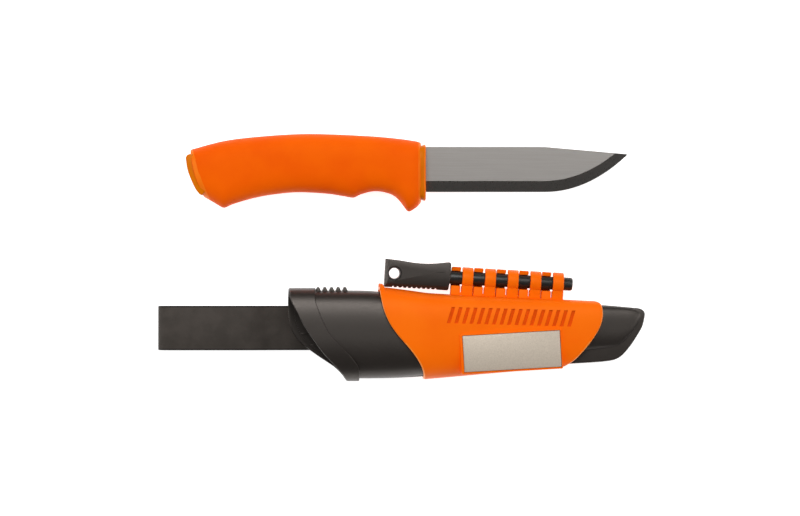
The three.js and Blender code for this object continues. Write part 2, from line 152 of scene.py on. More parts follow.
def turned(profile, place, count=48):
    # a profile of (radius, height) turned about its axis, which place lays down
    bm = bmesh.new()
    verts = [bm.verts.new((radius, 0, height)) for radius, height in profile]
    rim = [bm.edges.new(pair) for pair in zip(verts, verts[1:])]
    bmesh.ops.spin(bm, geom=verts + rim, cent=(0, 0, 0), axis=(0, 0, 1), dvec=(0, 0, 0),
                   angle=2 * math.pi, steps=count, use_merge=True)
    bmesh.ops.remove_doubles(bm, verts=bm.verts, dist=1e-4)
    bmesh.ops.recalc_face_normals(bm, faces=bm.faces)
    bm.transform(place)
    return bm


def rounded(bm, width, segments=3, angle=35):
    # rounds every edge that is sharper than the angle
    sharp = [edge for edge in bm.edges if edge.is_manifold
             and edge.calc_face_angle(0) > math.radians(angle)]
    bmesh.ops.bevel(bm, geom=sharp, offset=width, affect="EDGES", segments=segments, profile=0.5,
                    material=-1, clamp_overlap=True)
    return bm


def softenRims(bm, width):
    # rounds the edges round a slab's two faces, and leaves the upright ones
    rims = [edge for edge in bm.edges if abs(edge.verts[0].co.z - edge.verts[1].co.z) < 0.01]
    bmesh.ops.bevel(bm, geom=rims, offset=width, affect="EDGES", segments=4, profile=0.5, material=-1)


def makePiece(name, shapes, place, materials, sharpAngle=40):
    # joins shapes drawn in millimetres into one finished object
    mesh = bpy.data.meshes.new(name)
    whole = bmesh.new()
    for shape in shapes:
        part = bpy.data.meshes.new("part")
        shape.to_mesh(part)
        shape.free()
        whole.from_mesh(part)
        bpy.data.meshes.remove(part)
    whole.transform(place @ Matrix.Scale(mm, 4))
    whole.to_mesh(mesh)
    whole.free()
    for material in materials:
        mesh.materials.append(material)
    mesh.shade_smooth()
    mesh.set_sharp_from_angle(angle=math.radians(sharpAngle))
    piece = bpy.data.objects.new(name, mesh)
    bpy.context.collection.objects.link(piece)
    return piece


def carve(piece, shapes, place, material=None):
    # cuts shapes out of a piece and leaves a plain mesh; the material is for the fresh faces
    cutter = makePiece("cutter", shapes, place, [material or piece.data.materials[0]])
    cut = piece.modifiers.new("cut", "BOOLEAN")
    cut.object, cut.solver, cut.material_mode = cutter, "EXACT", "TRANSFER"
    bpy.context.view_layer.update()
    carved = bpy.data.meshes.new_from_object(piece.evaluated_get(bpy.context.evaluated_depsgraph_get()))
    piece.modifiers.remove(cut)
    old, piece.data = piece.data, carved
    carved.name = piece.name
    bpy.data.meshes.remove(old)
    bpy.data.objects.remove(cutter)
    carved.set_sharp_from_angle(angle=math.radians(40))


def finish(piece, body, slot, *nodes):
    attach(piece, body)
    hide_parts(*nodes)


def dress(node, material):
    # gives a CAD node that stays visible its material
    data = frame["nodes"][node].data
    data.materials.clear()
    data.materials.append(material)


# ---------- where the groups lie ----------

# the sheath lies with its tip dipped, about the middle plane of the blade that it holds
plateSize = {"long": 51.7, "wide": 19.1, "thick": 1.0, "centre": (58.1, -49.5, 11.95), "turn": 3.2,
             "lean": 3.6}
rodSize = {"radius": 3.5, "tip": 64.8, "buried": -18, "slope": 3.34, "start": (26.3, -10.5, 0)}

dip = math.asin(joints["collar_removal"]["axis"][2])
facePlace = Vector(mounts["sharpener_face"]["pos_m"]) / mm
lift = facePlace.z + plateSize["centre"][0] * math.sin(dip) - plateSize["centre"][2] * math.cos(dip)
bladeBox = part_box("blade")
knifeLevel = (bladeBox[0][2] + bladeBox[1][2]) / 2 / mm

metres = Matrix.Scale(mm, 4)
millimetres = Matrix.Scale(1 / mm, 4)


def inMetres(matrix):
    return metres @ matrix @ millimetres


knifeMatrix = Matrix.Translation((0, 0, knifeLevel))
sheathMatrix = Matrix.Translation((0, 0, lift)) @ Matrix.Rotation(dip, 4, "Y")
rodMatrix = (sheathMatrix @ Matrix.Translation(rodSize["start"])
             @ Matrix.Rotation(-math.radians(rodSize["slope"]), 4, "Z"))
plateMatrix = (sheathMatrix @ Matrix.Translation(plateSize["centre"])
               @ Matrix.Rotation(math.radians(plateSize["turn"]), 4, "Z")
               @ Matrix.Rotation(math.radians(plateSize["lean"]), 4, "Y"))


# ---------- materials ----------

def linearColour(code):
    def toLinear(value):
        return value / 12.92 if value <= 0.04045 else ((value + 0.055) / 1.055) ** 2.4
    return tuple(toLinear(int(code[i:i + 2], 16) / 255) for i in (1, 3, 5)) + (1.0,)


def addNode(tree, kind, inputs=None, **settings):
    node = tree.nodes.new(kind)
    for key, value in settings.items():
        setattr(node, key, value)
    for key, value in (inputs or {}).items():
        if isinstance(value, bpy.types.NodeSocket):
            tree.links.new(value, node.inputs[key])
        else:
            node.inputs[key].default_value = value
    return node


def newMaterial(name, roughness, metallic=0.0, **sockets):
    material = bpy.data.materials.new(name)
    material.use_nodes = True
    shader = material.node_tree.nodes["Principled BSDF"]
    shader.inputs["Roughness"].default_value = roughness
    shader.inputs["Metallic"].default_value = metallic
    for key, value in sockets.items():
        shader.inputs[key.replace("_", " ")].default_value = value
    return material, material.node_tree, shader


def perMillimetre(size):
    return 1 / (size * mm)  # texture scale that gives features of that many millimetres


def mottled(tree, shader, dark, light, size, detail=3.0, low=0.35, high=0.65, squeeze=(1, 1, 1)):
    # two close tones in soft patches, with the patches' size in millimetres
    place = addNode(tree, "ShaderNodeTexCoord")
    fit = addNode(tree, "ShaderNodeMapping", {"Vector": place.outputs["Object"], "Scale": squeeze})
    noise = addNode(tree, "ShaderNodeTexNoise", {"Vector": fit.outputs["Vector"],
                                                 "Scale": perMillimetre(size), "Detail": detail})
    ramp = addNode(tree, "ShaderNodeValToRGB", {"Fac": noise.outputs["Fac"]})
    ramp.color_ramp.elements[0].position, ramp.color_ramp.elements[1].position = low, high
    ramp.color_ramp.elements[0].color = linearColour(dark)
    ramp.color_ramp.elements[1].color = linearColour(light)
    tree.links.new(ramp.outputs["Color"], shader.inputs["Base Color"])
    return fit, ramp


def textured(tree, shader, fit, size, depth, strength=0.5, detail=2.0):
    # a fine relief: grain size and depth in millimetres
    noise = addNode(tree, "ShaderNodeTexNoise", {"Vector": fit.outputs["Vector"],
                                                 "Scale": perMillimetre(size), "Detail": detail})
    bump = addNode(tree, "ShaderNodeBump", {"Height": noise.outputs["Fac"],
                                            "Strength": strength, "Distance": depth * mm})
    tree.links.new(bump.outputs["Normal"], shader.inputs["Normal"])
    return noise


def roughened(tree, shader, noise, low, high):
    spread = addNode(tree, "ShaderNodeMapRange", {"Value": noise.outputs["Fac"], "From Min": 0.3,
                                                  "From Max": 0.7, "To Min": low, "To Max": high})
    tree.links.new(spread.outputs["Result"], shader.inputs["Roughness"])


def gripRubber():
    # thermoplastic rubber moulded in a spark-eroded tool: an even, soft orange with a fine matt grain
    material, tree, shader = newMaterial("moulded thermoplastic rubber, orange", 0.6, Specular_IOR_Level=0.2,
                                         Specular_Tint=linearColour("#FFB070"))
    fit, _ = mottled(tree, shader, "#F25A00", "#F76200", 22)
    noise = textured(tree, shader, fit, 0.7, 0.05, 0.35)
    roughened(tree, shader, noise, 0.52, 0.68)
    return material


def paintedHighlightRubber():
    # lighter orange for the grip's end chamfers and the core's front rim: a painted highlight where light
    # catches those edges, on smoother rubber
    material, tree, shader = newMaterial("lighter orange rubber, painted highlight", 0.4, Specular_IOR_Level=0.3,
                                         Specular_Tint=linearColour("#FFC080"))
    mottled(tree, shader, "#F67008", "#FA780E", 15)
    return material


def corePlastic():
    # injection moulded polypropylene: deeper and glossier than the rubber over it
    material, tree, shader = newMaterial("moulded polypropylene, deep orange", 0.35, Specular_IOR_Level=0.3,
                                         Specular_Tint=linearColour("#FFC080"))
    fit, _ = mottled(tree, shader, "#D06A00", "#DA7200", 15)
    textured(tree, shader, fit, 1.2, 0.02, 0.2)
    return material


def groundSteel():
    # stainless strip steel, ground flat: fine lines along the blade and a soft grey sheen
    material, tree, shader = newMaterial("ground stainless steel", 0.34, 1.0)
    mottled(tree, shader, "#9C9894", "#A09C98", 0.6, 4.0, squeeze=(0.03, 1, 1))
    return material


def darkReflectionSteel():
    # the edge bevel, ground again on a fine wheel: smoother, and painted darker as a reflection of the dark
    # of the room
    material, tree, shader = newMaterial("edge bevel steel with painted dark reflection", 0.3, 1.0)
    fit, _ = mottled(tree, shader, "#86827E", "#8A8682", 0.8, 3.0, squeeze=(1, 0.05, 1))
    noise = textured(tree, shader, fit, 0.3, 0.002, 0.05)
    roughened(tree, shader, noise, 0.26, 0.34)
    return material


def sheathPlastic():
    # polypropylene moulded in a lightly sanded tool: near black with a broad satin shine
    material, tree, shader = newMaterial("moulded polypropylene, black", 0.42, Specular_IOR_Level=0.75,
                                         Specular_Tint=linearColour("#FFF3EA"))
    fit, _ = mottled(tree, shader, "#130F0C", "#191512", 18)
    noise = textured(tree, shader, fit, 0.8, 0.02, 0.25)
    roughened(tree, shader, noise, 0.38, 0.46)
    return material


def sleevePlastic():
    # moulded nylon, evenly coloured through, with a satin skin
    material, tree, shader = newMaterial("moulded nylon, bright orange", 0.42, Specular_IOR_Level=0.3,
                                         Specular_Tint=linearColour("#FFB070"))
    fit, _ = mottled(tree, shader, "#FB6A04", "#FE7006", 20)
    noise = textured(tree, shader, fit, 0.9, 0.03, 0.25)
    roughened(tree, shader, noise, 0.38, 0.5)
    return material


def paintedHighlightNylon():
    # the sleeve's rims, painted lighter as a highlight where light catches them
    material, tree, shader = newMaterial("nylon rim with painted highlight", 0.3, Specular_IOR_Level=0.5)
    mottled(tree, shader, "#FF8A26", "#FF9230", 15)
    return material


def paintedShadeNylon():
    # the floor of a sunk mark: the same nylon, left rough by the tool, and painted darker as shade in the
    # recess
    material, tree, shader = newMaterial("rough nylon in a sunk mark, painted shade", 0.8, Specular_IOR_Level=0.1)
    mottled(tree, shader, "#E25200", "#EC5802", 10)
    return material


def strapLeather(middle, half):
    # strap leather with a finished top: fine pores, faint creases, and burnished edges
    material, tree, shader = newMaterial("finished strap leather, black", 0.62, Specular_IOR_Level=0.35,
                                         Specular_Tint=linearColour("#FFF3EA"))
    fit, ramp = mottled(tree, shader, "#2F2B27", "#393430", 7, 4.0)
    parts = addNode(tree, "ShaderNodeSeparateXYZ", {"Vector": fit.outputs["Vector"]})
    off = addNode(tree, "ShaderNodeMath", {0: parts.outputs["Y"], 1: middle * mm}, operation="SUBTRACT")
    away = addNode(tree, "ShaderNodeMath", {0: off.outputs[0]}, operation="ABSOLUTE")
    edge = addNode(tree, "ShaderNodeMapRange", {"Value": away.outputs[0], "From Min": (half - 1.1) * mm,
                                                "From Max": (half - 0.5) * mm})
    mix = addNode(tree, "ShaderNodeMix", {"Factor": edge.outputs["Result"], "A": ramp.outputs["Color"],
                                          "B": linearColour("#0F0D0C")}, data_type="RGBA")
    tree.links.new(mix.outputs["Result"], shader.inputs["Base Color"])
    pores = addNode(tree, "ShaderNodeTexVoronoi", {"Vector": fit.outputs["Vector"],
                                                   "Scale": perMillimetre(0.9)})
    bump = addNode(tree, "ShaderNodeBump", {"Height": pores.outputs["Distance"], "Strength": 0.35,
                                            "Distance": 0.06 * mm})
    tree.links.new(bump.outputs["Normal"], shader.inputs["Normal"])
    return material


def diamondGrit():
    # nickel plate with bonded diamond grit; the grains are drawn at 0.7 mm, ten times their size,
    # because finer ones would not show
    material, tree, shader = newMaterial("diamond coated nickel plate", 0.6, 0.35)
    fit, _ = mottled(tree, shader, "#BEB2A2", "#CABEAE", 0.7, 2.0, 0.3, 0.7)
    noise = textured(tree, shader, fit, 0.5, 0.06, 0.25, 1.0)
    roughened(tree, shader, noise, 0.45, 0.75)
    return material


def fireSteel():
    # cast ferrocerium rod under a thin dark lacquer, with faint drawn lines along it
    material, tree, shader = newMaterial("lacquered ferrocerium", 0.38, 0.2)
    fit, _ = mottled(tree, shader, "#1E1E1C", "#2B2B28", 3, 3.0, squeeze=(0.2, 1, 1))
    noise = textured(tree, shader, fit, 0.6, 0.03, 0.3)
    roughened(tree, shader, noise, 0.3, 0.45)
    return material


def rivetSteel():
    # turned steel, blackened in oil: dark grey with a dull shine
    material, tree, shader = newMaterial("oil-blackened turned steel", 0.38, 1.0)
    fit, _ = mottled(tree, shader, "#55524F", "#6B6864", 1.5)
    textured(tree, shader, fit, 0.4, 0.02, 0.2)
    return material


def foamTape():
    # closed-cell foam tape: off-white and dull
    material, tree, shader = newMaterial("foam mounting tape", 0.9)
    fit, _ = mottled(tree, shader, "#CFCBC2", "#DDD9D0", 0.8)
    textured(tree, shader, fit, 0.4, 0.05, 0.4)
    return material


strap = {"layer": 1.7, "loopHeight": 9.2, "fold": -129.3, "foldLong": 6.5, "bend": -63.6, "end": -28,
         "middle": -37.5, "wide": 23.6, "collarBack": 14.7, "gap": 0.1, "bow": 0.7, "bowLong": 14}

looks = {
    "grip": gripRubber(), "band": paintedHighlightRubber(), "core": corePlastic(),
    "flat": groundSteel(), "bevel": darkReflectionSteel(),
    "black": sheathPlastic(),
    "sleeve": sleevePlastic(), "lip": paintedHighlightNylon(), "mark": paintedShadeNylon(),
    "leather": strapLeather(strap["middle"], strap["wide"] / 2), "rivet": rivetSteel(),
    "rod": fireSteel(), "grit": diamondGrit(), "tape": foamTape(),
}
print("materials made:", len(looks))


# ---------- camera, floor and lights ----------

def makeStudio():
    studio = {"lens": 220, "frameWidth": 0.424, "aim": (-0.0005, -0.0003, 0.012), "world": 0.13, "glow": 0.9}
    data = bpy.data.cameras.new("camera")
    data.lens, data.sensor_width = studio["lens"], 36
    camera = bpy.data.objects.new("camera", data)
    away = studio["frameWidth"] * studio["lens"] / data.sensor_width
    camera.location = Vector(studio["aim"]) + Vector((0, 0, away))
    data.clip_start, data.clip_end = 0.05, 20
    bpy.context.collection.objects.link(camera)
    bpy.context.scene.camera = camera

    # a light table: a matt white floor that also glows, so that no shadow shows on it
    bm = bmesh.new()
    bmesh.ops.create_grid(bm, x_segments=2, y_segments=2, size=3)
    mesh = bpy.data.meshes.new("floor")
    bm.to_mesh(mesh)
    bm.free()
    mesh.transform(Matrix.Translation((0, 0, -0.0002)))
    paint, _, shader = newMaterial("matt white light table", 0.9)
    shader.inputs["Base Color"].default_value = linearColour("#D8D7D6")
    shader.inputs["Emission Color"].default_value = (1, 1, 1, 1)
    shader.inputs["Emission Strength"].default_value = studio["glow"]
    mesh.materials.append(paint)
    floor = bpy.data.objects.new("floor", mesh)
    bpy.context.collection.objects.link(floor)

    lamps = {  # degrees from straight up, towards which side, distance in metres, width, height, watts
        "key": (26, (0, 1), 2.6, 2.0, 1.2, 46),
        "left": (58, (-1, 0.05), 1.8, 0.5, 1.2, 9),
        "right": (58, (1, 0.05), 1.8, 0.5, 1.2, 8),
        "low": (82, (0, -1), 1.8, 1.6, 0.2, 2.5),
    }
    for name, (slant, side, distance, width, height, watts) in lamps.items():
        lamp = bpy.data.lights.new(name, "AREA")
        lamp.shape, lamp.size, lamp.size_y, lamp.energy = "RECTANGLE", width, height, watts
        light = bpy.data.objects.new(name, lamp)
        across = Vector(side).normalized() * math.sin(math.radians(slant))
        light.location = Vector((across.x, across.y, math.cos(math.radians(slant)))) * distance
        light.rotation_euler = (-light.location).to_track_quat("-Z", "Y").to_euler()
        bpy.context.collection.objects.link(light)
    world = bpy.data.worlds.new("studio")
    world.use_nodes = True
    world.node_tree.nodes["Background"].inputs["Color"].default_value = (1, 1, 1, 1)
    world.node_tree.nodes["Background"].inputs["Strength"].default_value = studio["world"]
    bpy.context.scene.world = world
    bpy.context.scene.view_settings.view_transform = "Standard"


makeStudio()
print("studio made")


# ---------- knife ----------

handle = {
    "top": smoothLine((-112, 57), (-94, 61.7), (-76, 64), (-50, 65.5), (-18, 64.4), (0, 62.8), (10.6, 61.2)),
    "bottom": smoothLine((-107, 33.4), (-104.4, 32), (-100.2, 29.7), (-97.4, 28), (-95.2, 26.7), (-94, 26.3),
                         (-92.6, 26.6), (-89.8, 27.9), (-85, 29.5), (-76.9, 31.7), (-68, 33.3), (-55, 34.5),
                         (-38.7, 33.7), (-30.2, 32.4), (-25, 31.7), (-21.5, 33.3), (-15.4, 34.9), (-11, 34.9),
                         (-6.9, 34), (-4.8, 33.2), (-2.7, 31.8), (-0.5, 29.6), (1.6, 26.8), (3.1, 24.8),
                         (4.2, 24.3), (5.8, 24.9), (8, 26.4), (10.6, 28.7)),
    "depth": smoothLine((-112, 9), (-95, 10.2), (-70, 10.5), (-40, 10.5), (-14, 9.2), (4, 10.3), (10.6, 9.6)),
    "butt": smoothLine((26, -102.2), (32, -104.4), (35.8, -106), (41, -108.2), (46.4, -109.9), (53.8, -111.2),
                       (58, -111.6)),
    "front": 10.6, "power": 2.7, "long": 120,
}
core = {"lipDeep": 7.3, "rimMiddle": 44.9, "rimHalf": 15, "rimDeep": 8.6}


def gripPoint(station, turn):
    t, slim, inset = station
    c, s = squarish(turn, handle["power"])
    if t < 0.03:
        t *= 1 - 0.7 * max(0, c) ** 2  # the butt's chamfer narrows towards the top
    x = handle["front"] + (t - 1) * handle["long"]
    for _ in range(6):  # settles x and y together, because the butt is slanted
        high, low = handle["top"](x), handle["bottom"](x)
        y = (high + low) / 2 + c * ((high - low) / 2 - inset)
        x = handle["butt"](y) * (1 - t) + handle["front"] * t
    return x, y, s * (handle["depth"](x) - slim)


def makeGrip():
    butt = [(0, 5, 4), (0, 1.5, 1), (0.0005, 1.1, 0.3), (0.0025, 0.9, 0.1), (0.005, 0.8, 0),
            (0.021, 0.15, 0), (0.024, 0.05, 0), (0.029, 0, 0)]
    body = [(t, 0, 0) for t in steps(0.034, 0.96, 130)]
    front = [(0.97, 0.1, 0), (0.98, 0.35, 0), (0.989, 0.7, 0.1), (0.998, 1.4, 0.3), (1, 1.9, 0.8),
             (1, 4, 2.4)]
    stations = butt + body + front
    bm = loft(stations, gripPoint, 80)
    bm.faces.ensure_lookup_table()
    for face in bm.faces:
        middle = face.calc_center_median()
        fromButt, fromFront = middle.x - handle["butt"](middle.y), handle["front"] - middle.x
        chamfer = 2.7 * (1 - 0.7 * max(0, (middle.y - 44) / 16) ** 2)
        # the chamfers at both ends take the lighter orange: a painted highlight
        face.material_index = 1 if 0.12 < fromFront < 1.3 or 0.2 < fromButt < chamfer else 0
    grip = makePiece("grip_skin", [bm], inMetres(knifeMatrix), [looks["grip"], looks["band"]])
    finish(grip, "knife", "grip_rubber", "grip")


def makeCore():
    outline = [(-101, 53.9), (-111.6, 54.8), (-113.2, 54.2), (-113.9, 52.6)]
    lip = smoothLine((33.2, -106.3), (35.8, -108.4), (40.9, -110.9), (46.4, -112.9), (52.6, -113.9))
    outline += [(lip(y), y) for y in steps(51.5, 33.6, 22)]
    outline += [(-105.6, 32.9), (-104.5, 33.6), (-103.2, 36), (-96, 40)]
    lipPlate = rounded(slab(outline, -core["lipDeep"], core["lipDeep"]), 0.45, 3, 50)
    rim = [(handle["front"] - 3, 0.6), (handle["front"] + 0.2, 0.6), (12.4, 0.0), (12.9, 0.2), (13.2, 0.8)]

    def rimPoint(station, turn):
        x, inset = station
        c, s = squarish(turn, 4)
        return x, core["rimMiddle"] + c * (core["rimHalf"] - inset), s * (core["rimDeep"] - inset)
    rimRing = loft(rim, rimPoint, 64)
    for face in rimRing.faces:
        # the rim's front edge takes the lighter orange: a painted highlight
        face.material_index = 1 if face.calc_center_median().x > 12.4 else 0
    shell = makePiece("handle_core_shell", [lipPlate, rimRing], inMetres(knifeMatrix),
                      [looks["core"], looks["band"]])
    finish(shell, "knife", "core_plastic", "handle_core")


# past the belly the edge rises and curls up, the spine drops and the bevel widens, all towards the tip
bladeSize = {"thick": 3.2, "root": 11.2, "tip": 120.3, "belly": 76, "spine": 58.6, "edge": 34.7, "bevel": 5.8,
             "rise": 19.9, "curl": 2.08, "drop": 3.9, "widen": 0.12, "apex": 0.05, "ease": 0.25}


def bladeLines(x):
    # heights of the edge, of the line above the bevel, and of the spine
    b = bladeSize
    past = max(0, (x - b["belly"]) / (b["tip"] - b["belly"]))
    edge = b["edge"] + b["rise"] * past ** b["curl"]
    spine = b["spine"] - b["drop"] * past
    return edge, min(edge + b["bevel"] * (1 + b["widen"] * past), spine - 0.02), spine


def makeBlade():
    b, apex = bladeSize, bladeSize["apex"]

    def bladePoint(x, turn):
        edge, line, spine = bladeLines(x)
        half = b["thick"] / 2
        slope = (half - apex) / b["bevel"]
        thick = {h: min(half, apex + slope * (h - edge)) for h in (line, spine)}
        ease = min(b["ease"], (spine - line) / 2)
        spots = [(spine, -thick[spine] + ease), (spine, thick[spine] - ease), (spine - ease, thick[spine]),
                 (line, thick[line]), (edge, apex), (edge, -apex), (line, -thick[line]),
                 (spine - ease, -thick[spine])]
        y, z = spots[round(turn * len(spots))]
        return x, y, z
    stations = [b["root"], 40] + steps(b["belly"] - 6, b["tip"] - 0.5, 60)
    bm = loft(stations, bladePoint, 8)
    for face in bm.faces:
        low = min(vert.co.y for vert in face.verts)
        edge = bladeLines(face.calc_center_median().x)[0]
        # the bevel's faces take the darker steel: a painted dark reflection
        if low < edge + 1.5:
            face.material_index = 1
    blade = makePiece("blade_body", [bm], inMetres(knifeMatrix), [looks["flat"], looks["bevel"]], 8)
    finish(blade, "knife", "blade_steel", "blade")


makeGrip()
makeCore()
makeBlade()
print("knife made")


# ---------- sheath ----------

sheath = {
    "top": smoothLine((-62, -17.5), (-20, -17.5), (-8, -18.4), (16, -21.2), (60, -22.8), (104, -25),
                      (127, -26.9)),
    "bottom": smoothLine((-62, -63.9), (-12, -63.9), (13, -62.8), (42, -60.2), (86, -56.6), (105, -55.4),
                         (130, -53)),
    "rise": smoothLine((-18, 0), (8, 0.3), (42, 1.4), (70, 2.8), (86, 4.8), (100, 6.2), (130, 6.6)),
    "front": smoothLine((-62, 12.9), (8, 12.9), (22, 12), (50, 9.2), (85, 7), (104, 5.8), (118, 4.1),
                        (130, 2.7)),
    "back": smoothLine((-62, 12.9), (8, 12.9), (22, 12.4), (50, 10.6), (105, 9), (130, 7.6)),
    "seat": 14.2, "wall": 1.7, "power": 3.6, "under": 2.6, "flange": 2.4, "mouthStep": 1.2, "backStep": 3.4,
}
collarSize = {"gap": 0.3, "wall": 1.1}
# the blade's slot: how far the drawn knife lies from it, the room round the blade, and the slot's depth
slotSize = {"away": 85, "room": 0.9, "middle": -0.5, "half": 3.2}
# ends of the sheath and its collar, as x over y
mouthFront = smoothLine((-67, -27.8), (-62.3, -30.7), (-56.4, -36), (-50.1, -41.9), (-42.1, -47.7),
                        (-35.8, -51.9), (-29.4, -55.1), (-22, -58.8), (-16, -59.2))
mouthBack = smoothLine((-67, -27.8), (-62.3, -30.7), (-58, -35), (-52.7, -42.9), (-46.9, -50.8),
                       (-43.7, -54), (-40, -56.6), (-35.8, -58.2), (-30.5, -59.2), (-16, -59.4))
bandEnd = smoothLine((-67, -22.2), (-58.6, -22.8), (-54.5, -25.2), (-50.1, -28.8), (-45.6, -33.4),
                     (-39.5, -38.7), (-33.1, -41.9), (-27.8, -44), (-22.5, -45.7), (-16, -45.4))
backEnd = smoothLine((-67, -22.1), (-24, -22), (-21.5, -22.6), (-19.5, -44.6), (-18, -45.3))
bulgeEnd = smoothLine((-52, 106), (-49.4, 111.5), (-48, 114.2), (-44.5, 118.3), (-40.3, 122.2),
                      (-37.4, 124.6), (-33, 127), (-30.2, 127.8), (-28.2, 126.8), (-27, 124))
# the rim round the sheath's tip
tipEdge = [(123.5, -26.7), (126, -26.9), (127.9, -27.6), (129.1, -28.8), (129.4, -30.8), (128.2, -36.1),
           (126, -40.3), (122.4, -45.9), (118.7, -50.5), (115.8, -53), (112.2, -54.5), (106.5, -55.3)]
thumbRibs = {"places": (-43.9, -40.4, -36.8, -33.3, -29.8), "foot": 1.9, "top": 0.45,
             "base": -18.8, "crest": -15.6, "low": -5.3, "high": 6.5}
# small ledges on the back wall, just inside the mouth
ledge = {"places": ((-52.7, -40.4), (-47.5, -46.5)), "long": 5, "wide": 0.8, "low": -12, "high": -10.7}


def curveThrough(points, count):
    run = [smoothLine(*[(i, point[axis]) for i, point in enumerate(points)]) for axis in (0, 1)]
    return [(run[0](t), run[1](t)) for t in steps(0, len(points) - 1, count)]


def shellPoint(x, turn, grow, low=None, high=None):
    # a point on the sheath's skin, or that far outside it
    c, s = squarish(turn, sheath["power"], sheath["under"])
    high = (high or sheath["top"])(x) + grow
    low = (low(x) if low else sheath["bottom"](x) + sheath["rise"](x)) - grow
    depth = sheath["front" if s > 0 else "back"](x) + grow
    return (high + low) / 2 + c * (high - low) / 2, s * depth


def between(start, end, t, turn, grow, **lines):
    # settles x and y together where the ends of a piece are slanted lines over y
    x = (start(-40) + end(-40)) / 2
    for _ in range(8):
        y, z = shellPoint(x, turn, grow, **lines)
        x = start(y) * (1 - t) + end(y) * t
    return x, y, z


def frontBack(front, back, turn):
    # which of two lines holds on this side of the sheath
    s = squarish(turn, 2)[1]
    share = min(1, max(0, 0.5 + s * 2))
    return lambda y: front(y) * share + back(y) * (1 - share)


def bulgePoint(station, turn):
    kind, t, grow, flat = station
    start = frontBack(lambda y: mouthFront(y) + sheath["mouthStep"],
                      lambda y: mouthBack(y) + sheath["backStep"], turn)
    if kind == "slot":
        c, s = squarish(turn, 5)
        edge, _, spine = bladeLines(t)
        y = (edge + spine) / 2 - slotSize["away"] + c * ((spine - edge) / 2 + slotSize["room"])
        return t, y, slotSize["middle"] + s * slotSize["half"]
    end = bulgeEnd if kind == "skin" else (lambda y: sheath["seat"])
    x, y, z = between(start, end, t, turn, grow)
    return x, y, z * flat


def makeSheathBody():
    nose = [("skin", 1, -1.4, 0.5), ("skin", 1, -0.4, 0.7), ("skin", 0.997, -0.1, 0.82),
            ("skin", 0.99, 0, 0.92), ("skin", 0.98, 0, 0.97)]
    skin = nose + [("skin", t, 0, 1) for t in steps(0.97, 0.012, 90) + [0.006]]
    skin += [("skin", 0.001, -0.15, 1), ("skin", 0, -0.5, 1)]
    inside = [("pocket", t, -sheath["wall"], 1) for t in steps(0, 1, 24)]
    slot = [("slot", x, 0, 1) for x in (sheath["seat"] + 0.5, 60, 76, 88, 100, 110, 118)]
    bulge = loft(skin + inside + slot, bulgePoint, 96)

    outline = [(x, sheath["top"](x) - 0.3) for x in steps(-18, 121, 60)] + curveThrough(tipEdge, 60)
    outline += [(x, sheath["bottom"](x)) for x in steps(104, -18, 60)]
    flange = slab(outline[::-1], -sheath["flange"], sheath["flange"])
    softenRims(flange, 0.9)
    ledges = [rounded(block((x, y - ledge["wide"] / 2, ledge["low"]),
                            (x + ledge["long"], y + ledge["wide"] / 2, ledge["high"])), 0.3, 2)
              for x, y in ledge["places"]]
    ribs = []
    for x in thumbRibs["places"]:
        foot, top, base, crest = (thumbRibs[key] for key in ("foot", "top", "base", "crest"))
        outline = [(x - foot, base), (x - top, crest), (x + top, crest), (x + foot, base)]
        ribs.append(rounded(slab(outline[::-1], thumbRibs["low"], thumbRibs["high"]), 0.35, 3, 30))
    body = makePiece("sheath_shell", [bulge, flange] + ribs + ledges, inMetres(sheathMatrix),
                     [looks["black"]])
    finish(body, "sheath", "sheath_plastic", "sheath_body")


def makeCollar():
    gap, wall = collarSize["gap"], collarSize["wall"]

    def collarPoint(station, turn):
        t, grow = station
        return between(frontBack(mouthFront, mouthBack, turn), frontBack(bandEnd, backEnd, turn),
                       t, turn, grow, low=sheath["bottom"])
    outer = [(t, gap + wall) for t in [0.03, 0.036] + steps(0.05, 0.95, 30) + [0.968, 0.974]]
    end = [(0.99, gap + wall - 0.1), (1, gap + wall - 0.35), (1, gap)]
    inner = [(t, gap) for t in steps(0.96, 0.04, 20)]
    mouth = [(0.01, gap), (0, gap + 0.3), (0, gap + wall - 0.4), (0.01, gap + wall - 0.12)]
    ring = outer + end + inner + mouth + outer[:1]
    collar = makePiece("collar_band", [loft(ring, collarPoint, 112, closed=True)], inMetres(sheathMatrix),
                       [looks["black"]])
    finish(collar, "loop_collar", "sheath_plastic", "mouth_collar")


makeSheathBody()
makeCollar()
print("sheath made")


# ---------- sleeve ----------

sleeve = {
    "top": smoothLine((-12, -15.4), (-4, -16.3), (5, -17.5), (16, -18.9), (60, -21.1), (108, -23.3)),
    "bottom": smoothLine((-12, -65.7), (13, -64.4), (42, -61.9), (86, -58.3), (108, -56.9)),
    "left": smoothLine((-66, 12), (-60.2, 11.2), (-55.4, 9.1), (-50.1, 5.5), (-42.7, -0.8), (-39, -3.8),
                       (-34.2, -6.9), (-26.2, -10.1), (-15.1, -12.1)),
    "right": smoothLine((-58.6, 85.3), (-55.4, 90.2), (-52.4, 93.6), (-45.6, 99.4), (-39, 103.9),
                        (-35, 105.7), (-31, 106.5), (-27, 106.4), (-25, 105.9), (-23.8, 104.9),
                        (-23, 103.6)),
    "gap": 0.3, "wall": 1.8, "lip": 0.6,
}
mark = {"count": 17, "first": 26, "pitch": 4, "top": -26.2, "drop": 0.03, "wide": 1.9, "slant": 2.6,
        "long": 8.4, "deep": 0.7}
pad = {"left": 1.5, "right": 0.8, "side": 1.1, "bottom": -9, "top": 0.3, "round": 0.7}
earLine = [(-11.5, -14.2), (-11.8, -18), (-8.9, -18), (-8.9, -16.2), (-9.5, -15), (-10.3, -13.9),
           (-11.2, -13.7)]
earLevels = ((4.8, 10), (-10, -4.8))
# fingers that pass behind the rod and in front of it by turns; start and wide run along the rod
fingers = {"pitch": 12.03, "pairs": 5, "middle": 4.8, "thick": 2.0, "first": 0.4,
           "behind": {"start": 0.25, "wide": 4.9}, "front": {"start": 6.05, "wide": 5.7}}
